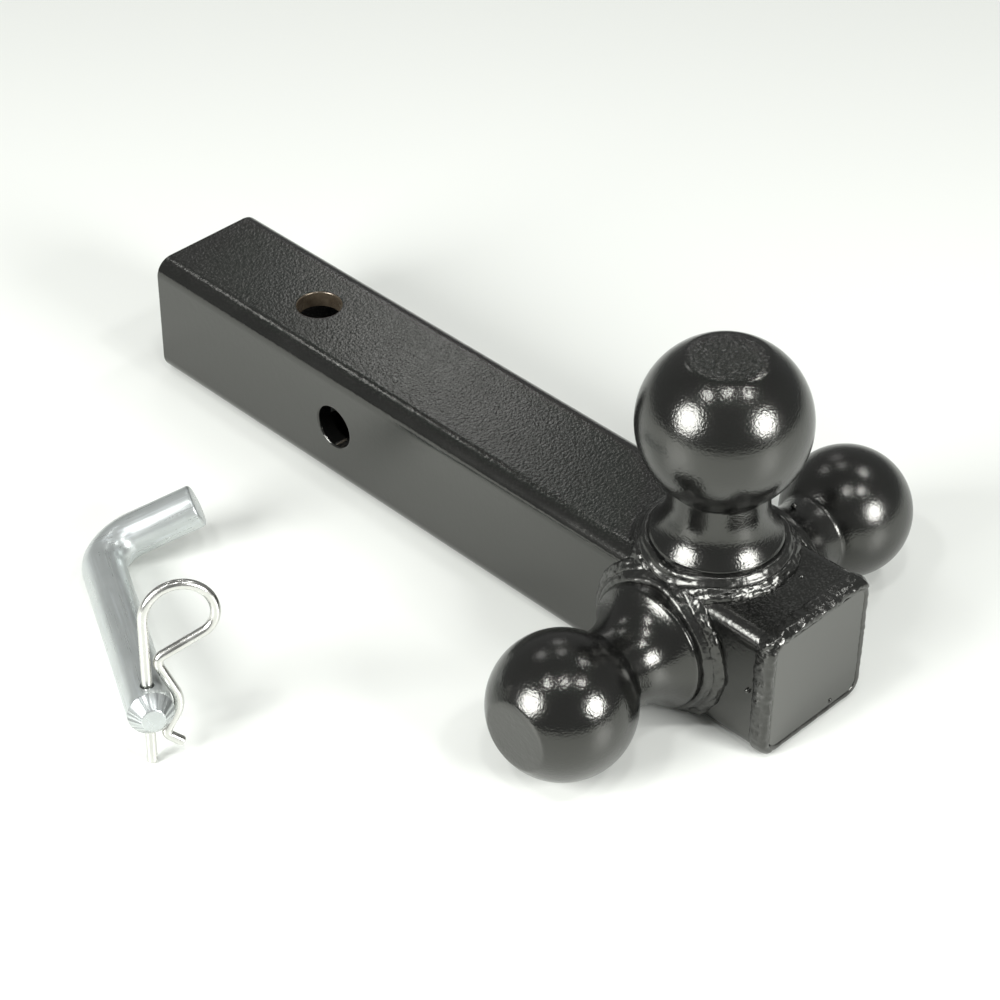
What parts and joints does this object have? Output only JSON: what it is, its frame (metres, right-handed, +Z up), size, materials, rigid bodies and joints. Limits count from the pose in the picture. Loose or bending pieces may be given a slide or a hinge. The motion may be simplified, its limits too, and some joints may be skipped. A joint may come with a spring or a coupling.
{
  "type": "ball hitch mount with pin and clip",
  "caption": "Square shank with a capped end and trailer balls of different sizes welded on its faces, with a bent hitch pin held by a spring clip lying beside it.",
  "frame": {"origin": "on the underside of the shank, straight below the point where the axes of the balls cross", "axes": "+X along the shank from its open rear end to the capped ball end, +Y towards the smallest ball, +Z up towards the largest ball"},
  "size_m": [0.3096, 0.2688, 0.1283],
  "materials": {
    "black_paint": "gloss black powder coat",
    "painted_weld": "gloss black powder coat over rough weld beads",
    "zinc_plate": "bright zinc plate, slightly streaked",
    "spring_wire": "bright drawn wire"
  },
  "bodies": {
    "hitch": {"shank_tube": "black_paint", "cap_plate": "black_paint", "large_ball": "black_paint", "medium_ball": "black_paint", "small_ball": "black_paint", "cap_weld_top": "painted_weld", "cap_weld_bottom": "painted_weld", "cap_weld_left": "painted_weld", "cap_weld_right": "painted_weld", "large_ball_inner_weld": "painted_weld", "large_ball_outer_weld": "painted_weld", "medium_ball_inner_weld": "painted_weld", "medium_ball_outer_weld": "painted_weld", "small_ball_inner_weld": "painted_weld", "small_ball_outer_weld": "painted_weld"},
    "pin": {"hitch_pin": "zinc_plate"},
    "clip": {"clip_straight_leg": "spring_wire"},
    "spring_leg": {"clip_spring_leg": "spring_wire"}
  },
  "joints": [
    {"name": "pin_lift", "type": "slide", "parent": "hitch", "child": "pin", "axis": [0, 0, 1], "range_m": [0, 0.15]},
    {"name": "clip_slide", "type": "slide", "parent": "pin", "child": "clip", "axis": [-0.1182, 0.1062, 0.9873], "range_m": [0, 0.032]},
    {"name": "spring_leg_flex", "type": "hinge", "parent": "clip", "child": "spring_leg", "pos_m": [-0.09666, -0.15189, 0.06698], "axis": [0.8674, -0.4729, 0.1547], "range_deg": [0, 16.01]}
  ],
  "couplings": [
    {"joint": "spring_leg_flex", "follows": "clip_slide", "rad_per_m": 8.7266}
  ]
}
